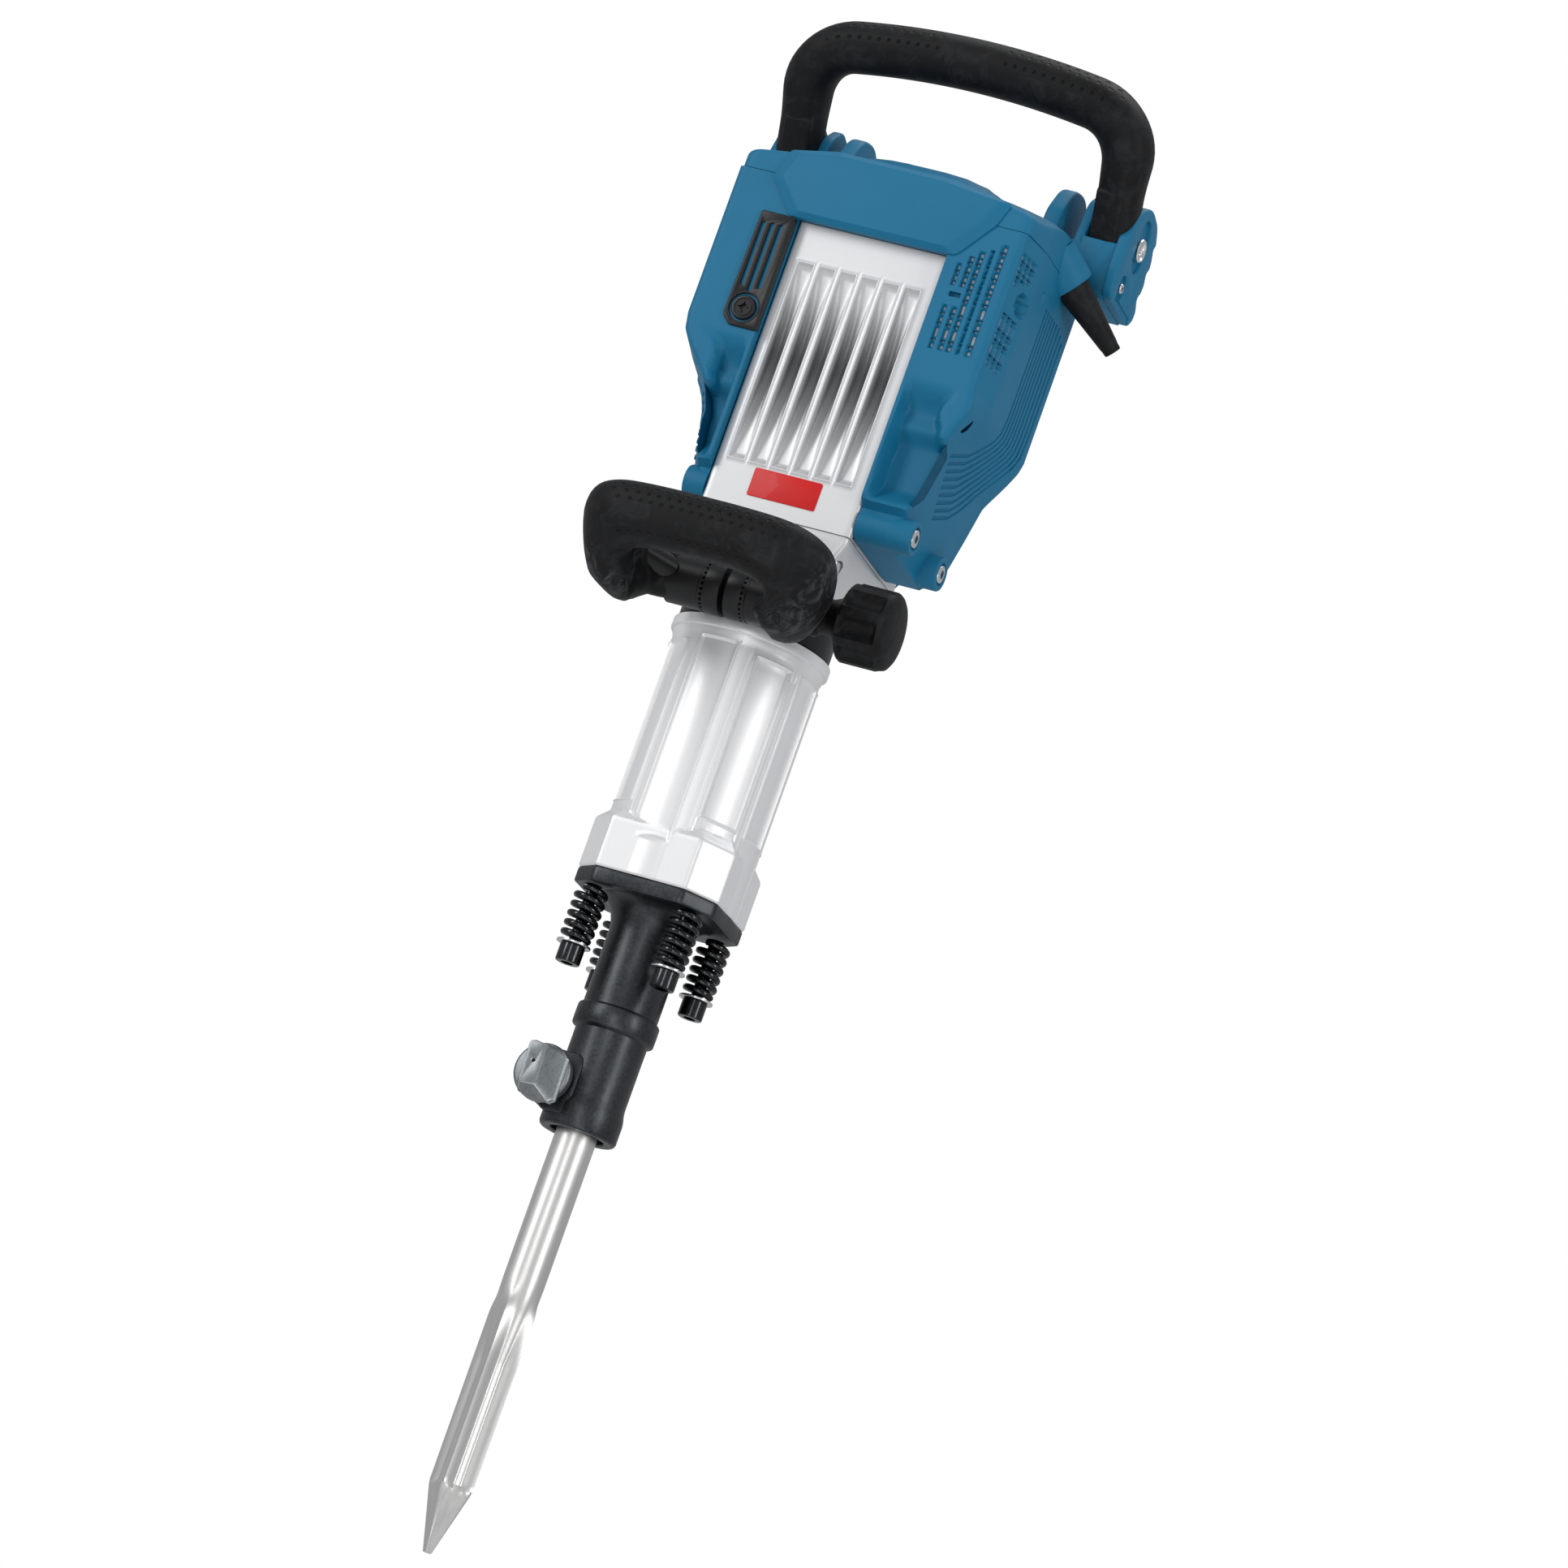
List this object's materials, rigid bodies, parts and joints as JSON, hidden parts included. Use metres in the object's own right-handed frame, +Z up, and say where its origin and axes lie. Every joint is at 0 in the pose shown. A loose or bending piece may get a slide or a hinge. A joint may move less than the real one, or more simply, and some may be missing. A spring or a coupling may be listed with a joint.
{
  "type": "electric demolition hammer",
  "caption": "Upright electric breaker with arched top handle, ribbed motor case, side covers, barrel, swivelling auxiliary handle, sprung tool holder, lock bolt and fluted pointed chisel.",
  "frame": {"origin": "centre of the tool holder's mouth, on the tool axis", "axes": "+Z up the tool axis to the main handle, -Y to the front with the ribbed panel, +X to the side with the cable sleeve"},
  "size_m": [0.2707, 0.2875, 1.0314],
  "materials": {
    "silver_casting": "satin silver paint",
    "blue_plastic": "fine moulded texture",
    "black_rubber": "soft matte",
    "black_plastic": "satin",
    "switch_plastic": "semi-gloss",
    "dark_steel": "blackened",
    "tool_steel": "ground",
    "bolt_steel": "forged",
    "bright_steel": "zinc plated",
    "gear_steel": "machined",
    "cast_alloy": "cast",
    "motor_iron": "laminated",
    "copper": "turned",
    "carbon": "matte",
    "bronze": "turned",
    "red_label": "printed film"
  },
  "bodies": {
    "housing": {"barrel_housing": "silver_casting", "lower_housing": "silver_casting", "motor_housing": "silver_casting", "left_side_cover": "blue_plastic", "right_side_cover": "blue_plastic", "top_cap": "blue_plastic", "rear_cover": "blue_plastic", "front_brush_cover": "black_plastic", "rear_brush_cover": "black_plastic", "brush_cover_screws": "black_plastic", "cover_screws": "bright_steel", "housing_screws": "bright_steel", "info_label": "red_label", "switch_frame": "black_plastic", "cable_sleeve": "black_rubber", "guide_bush": "bronze", "cylinder_tube": "gear_steel", "bearing_plate": "cast_alloy", "ball_bearings": "gear_steel", "stator": "motor_iron", "motor_end_shield": "black_plastic", "carbon_brushes": "carbon", "brush_holders": "black_plastic", "spring_screws": "dark_steel", "spring_washers": "dark_steel", "holder_springs": "dark_steel", "left_bracket": "blue_plastic", "right_bracket": "blue_plastic", "pivot_bolts": "bright_steel", "bracket_screws": "bright_steel", "handle_buffers": "black_rubber"},
    "rotor": {"rotor_shaft": "gear_steel", "rotor_core": "motor_iron", "commutator": "copper", "cooling_fan": "black_plastic", "motor_pinion": "gear_steel"},
    "intermediate": {"intermediate_gear": "gear_steel", "intermediate_pinion": "gear_steel", "intermediate_shaft": "gear_steel"},
    "crank": {"crank_gear": "gear_steel", "crankshaft": "gear_steel"},
    "piston": {"piston": "cast_alloy", "piston_seal": "black_rubber", "wrist_pin": "gear_steel"},
    "rod": {"connecting_rod": "cast_alloy", "crank_pin": "gear_steel"},
    "striker": {"striker": "gear_steel", "striker_seal": "black_rubber"},
    "impact": {"impact_bolt": "gear_steel"},
    "holder": {"tool_holder": "dark_steel"},
    "lock_slider": {"lock_bolt_collar": "bolt_steel"},
    "lock": {"lock_bolt": "bolt_steel"},
    "tool": {"chisel": "tool_steel"},
    "handle": {"main_handle_core": "cast_alloy", "main_handle_grip": "black_rubber"},
    "clamp": {"clamp_band": "black_plastic"},
    "aux": {"aux_frame": "black_plastic", "aux_grip": "black_rubber"},
    "knob": {"clamp_knob": "black_plastic"},
    "switch": {"switch_rocker": "switch_plastic"}
  },
  "joints": [
    {"name": "rotor_spin", "type": "hinge", "parent": "housing", "child": "rotor", "pos_m": [0, 0.016, 0.522], "axis": [1, 0, 0], "continuous": true},
    {"name": "intermediate_spin", "type": "hinge", "parent": "housing", "child": "intermediate", "pos_m": [0, 0.01106, 0.48105], "axis": [1, 0, 0], "continuous": true},
    {"name": "crank_spin", "type": "hinge", "parent": "housing", "child": "crank", "pos_m": [0, 0, 0.446], "axis": [1, 0, 0], "continuous": true},
    {"name": "piston_slide", "type": "slide", "parent": "housing", "child": "piston", "axis": [0, 0, 1], "range_m": [0, 0.032]},
    {"name": "rod_swing", "type": "hinge", "parent": "piston", "child": "rod", "pos_m": [0, 0, 0.34], "axis": [1, 0, 0], "range_deg": [-10, 10]},
    {"name": "striker_slide", "type": "slide", "parent": "housing", "child": "striker", "axis": [0, 0, 1], "range_m": [0, 0.034]},
    {"name": "holder_slide", "type": "slide", "parent": "housing", "child": "holder", "axis": [0, 0, -1], "range_m": [0, 0.008], "stiffness_N_per_m": 60000, "springref_m": -0.002, "deforming": ["holder_springs"]},
    {"name": "tool_slide", "type": "slide", "parent": "holder", "child": "tool", "axis": [0, 0, 1], "range_m": [0, 0.012]},
    {"name": "impact_slide", "type": "slide", "parent": "housing", "child": "impact", "axis": [0, 0, 1], "range_m": [0, 0.012]},
    {"name": "lock_pull", "type": "slide", "parent": "holder", "child": "lock_slider", "axis": [0, -1, 0], "range_m": [0, 0.009], "stiffness_N_per_m": 800},
    {"name": "lock_turn", "type": "hinge", "parent": "lock_slider", "child": "lock", "pos_m": [-0.022, 0, 0.026], "axis": [0, 1, 0], "range_deg": [0, 180]},
    {"name": "handle_swing", "type": "hinge", "parent": "housing", "child": "handle", "pos_m": [0, 0.086, 0.665], "axis": [1, 0, 0], "range_deg": [-3, 3], "stiffness_Nm_per_rad": 150},
    {"name": "clamp_swivel", "type": "hinge", "parent": "housing", "child": "clamp", "pos_m": [0, 0, 0.341], "axis": [0, 0, 1], "continuous": true},
    {"name": "aux_tilt", "type": "hinge", "parent": "clamp", "child": "aux", "pos_m": [0, -0.0665, 0.341], "axis": [1, 0, 0], "range_deg": [-15, 60]},
    {"name": "knob_turn", "type": "hinge", "parent": "aux", "child": "knob", "pos_m": [0.079, -0.0665, 0.341], "axis": [1, 0, 0], "range_deg": [0, 720]},
    {"name": "switch_rock", "type": "hinge", "parent": "housing", "child": "switch", "pos_m": [0, 0.037, 0.6555], "axis": [1, 0, 0], "range_deg": [0, 14]}
  ],
  "couplings": [
    {"joint": "intermediate_spin", "follows": "crank_spin", "ratio": -2.5},
    {"joint": "rotor_spin", "follows": "crank_spin", "ratio": 12.5},
    {"joint": "impact_slide", "follows": "tool_slide", "ratio": 1}
  ]
}
